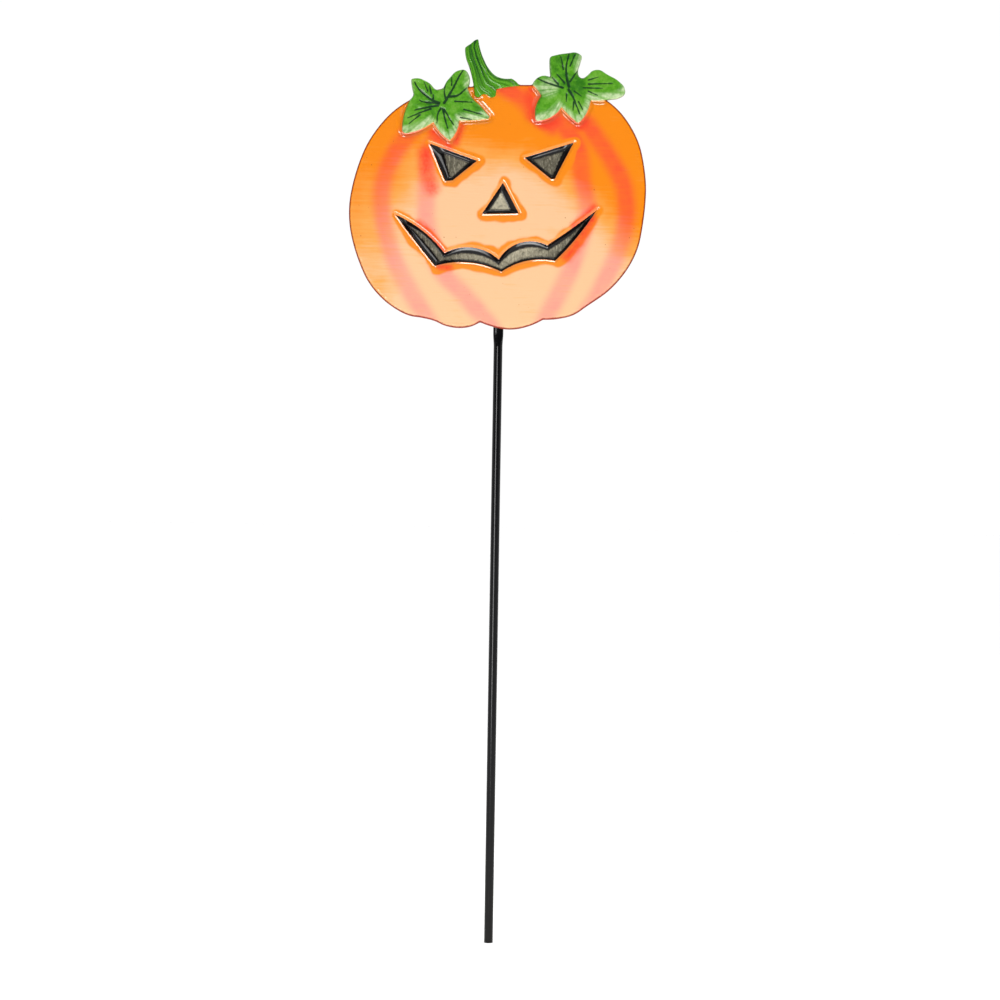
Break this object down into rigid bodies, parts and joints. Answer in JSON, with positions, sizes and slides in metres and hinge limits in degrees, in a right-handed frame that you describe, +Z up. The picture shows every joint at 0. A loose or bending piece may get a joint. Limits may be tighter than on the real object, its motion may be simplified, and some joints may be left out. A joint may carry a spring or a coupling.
{
  "type": "pumpkin garden stake",
  "caption": "Stamped sheet-steel jack-o'-lantern head, painted front, welded to a straight round steel rod that pushes into the ground.",
  "frame": {"origin": "centre of the rod's flat lower end", "axes": "+Z up along the rod, the painted front of the head faces -Y, +X to the right seen from the front"},
  "size_m": [0.2001, 0.011, 0.61],
  "materials": {
    "head_paint": "hand-painted orange, green and black enamel, semi-gloss",
    "rod_paint": "gloss black enamel",
    "weld_paint": "gloss black enamel over weld metal"
  },
  "bodies": {
    "root": {"head_panel": "head_paint", "stake_rod": "rod_paint", "rim_weld_beads": "weld_paint", "mouth_weld_beads": "weld_paint", "nose_weld_beads": "weld_paint"}
  },
  "joints": []
}
